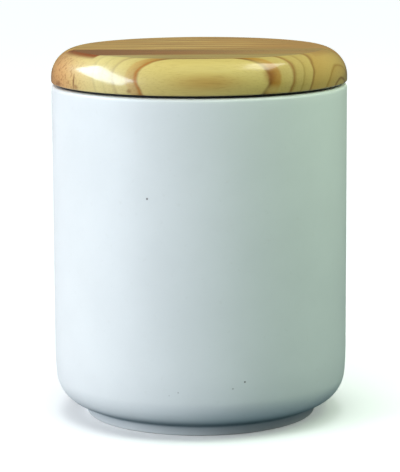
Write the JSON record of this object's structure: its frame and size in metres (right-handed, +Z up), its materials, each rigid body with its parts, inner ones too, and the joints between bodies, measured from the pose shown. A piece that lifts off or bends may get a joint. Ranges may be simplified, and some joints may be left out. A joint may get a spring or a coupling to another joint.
{
  "type": "bread bin",
  "caption": "Round straight-sided stoneware bread crock on a low foot ring, with a thick turned wooden lid that plugs into the mouth on a silicone seal ring.",
  "frame": {"origin": "middle of the foot ring, on the surface that the crock stands on", "axes": "+Z up along the axis of the jar, -Y towards the front, X along the grain of the lid's boards"},
  "size_m": [0.2002, 0.2002, 0.25],
  "materials": {
    "stoneware": "satin white glaze",
    "silicone": "matt dark grey silicone",
    "lid_wood_front": "lacquered",
    "lid_wood_back": "lacquered"
  },
  "bodies": {
    "jar": {"jar": "stoneware"},
    "seal": {"seal_ring": "silicone"},
    "lid": {"lid_board_front": "lid_wood_front", "lid_board_back": "lid_wood_back"}
  },
  "joints": [
    {"name": "lid_lift", "type": "slide", "parent": "jar", "child": "seal", "axis": [0, 0, 1], "range_m": [0, 0.15]},
    {"name": "lid_turn", "type": "hinge", "parent": "seal", "child": "lid", "pos_m": [0, 0, 0.2276], "axis": [0, 0, 1], "continuous": true}
  ]
}
